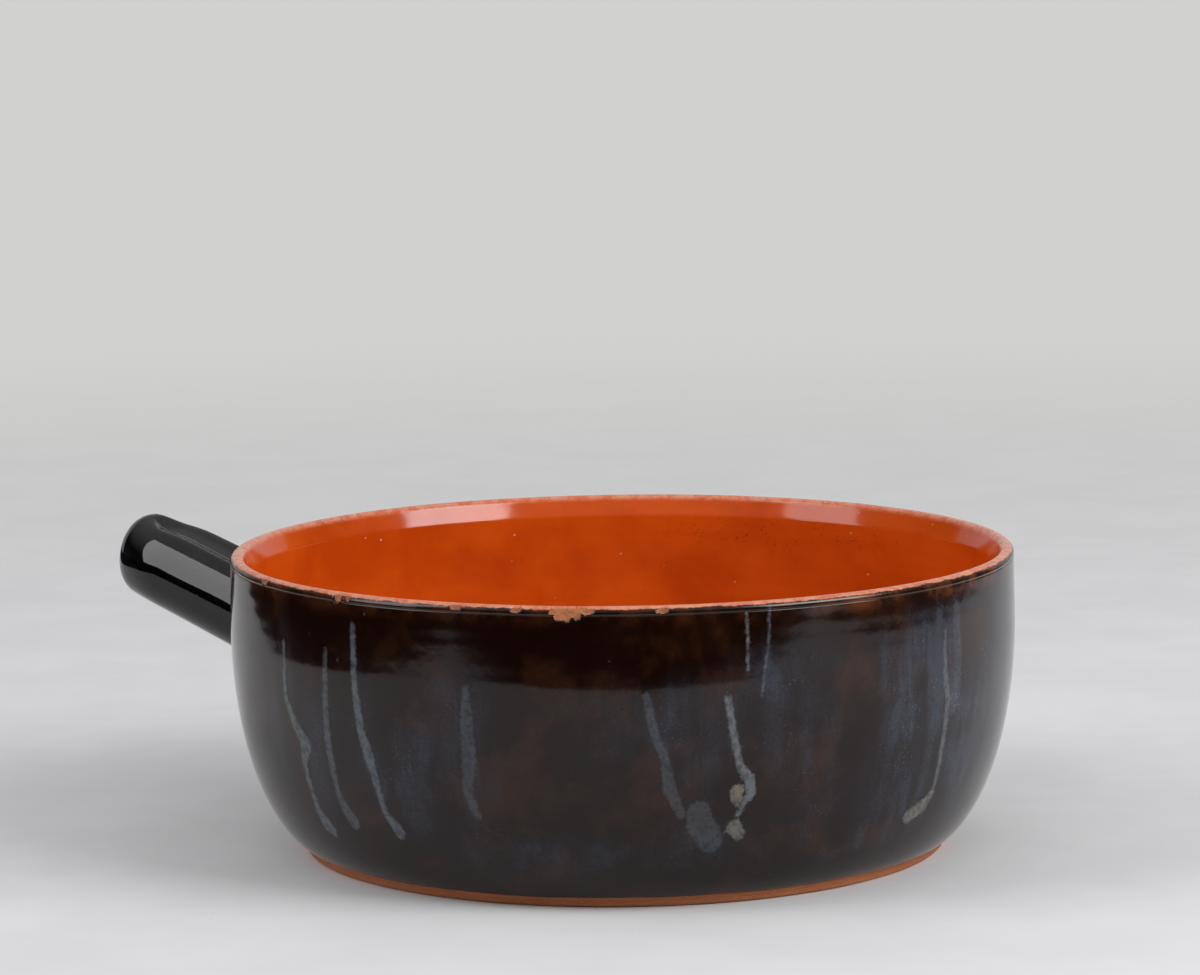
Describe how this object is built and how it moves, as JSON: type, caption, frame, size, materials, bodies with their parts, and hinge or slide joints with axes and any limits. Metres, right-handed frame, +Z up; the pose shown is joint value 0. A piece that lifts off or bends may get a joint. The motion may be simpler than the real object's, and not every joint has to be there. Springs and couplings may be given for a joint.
{
  "type": "cooking pot",
  "caption": "Low round terracotta cooking pot, orange glaze inside, dark glaze outside, with a solid upturned stub handle.",
  "frame": {"origin": "centre of the flat underside, on the surface that the pot stands on", "axes": "+Z up along the axis of the vessel; the handle points along -X; the part is symmetric about the XZ plane"},
  "size_m": [0.3074, 0.24, 0.0925],
  "materials": {
    "vessel_clay": "bare fired terracotta, matt and slightly gritty",
    "handle_clay": "bare fired terracotta under the glaze",
    "slip_clay": "fine fired slip under the glaze",
    "orange_glaze": "glossy clear glaze over orange clay, worn along the lip",
    "dark_glaze": "glossy dark brown glaze with blue-grey runs and haze",
    "black_glaze": "glossy near-black glaze"
  },
  "bodies": {
    "root": {"body": "vessel_clay", "handle": "handle_clay", "handle_slip": "slip_clay", "inner_glaze": "orange_glaze", "outer_glaze": "dark_glaze", "handle_glaze": "black_glaze"}
  },
  "joints": []
}
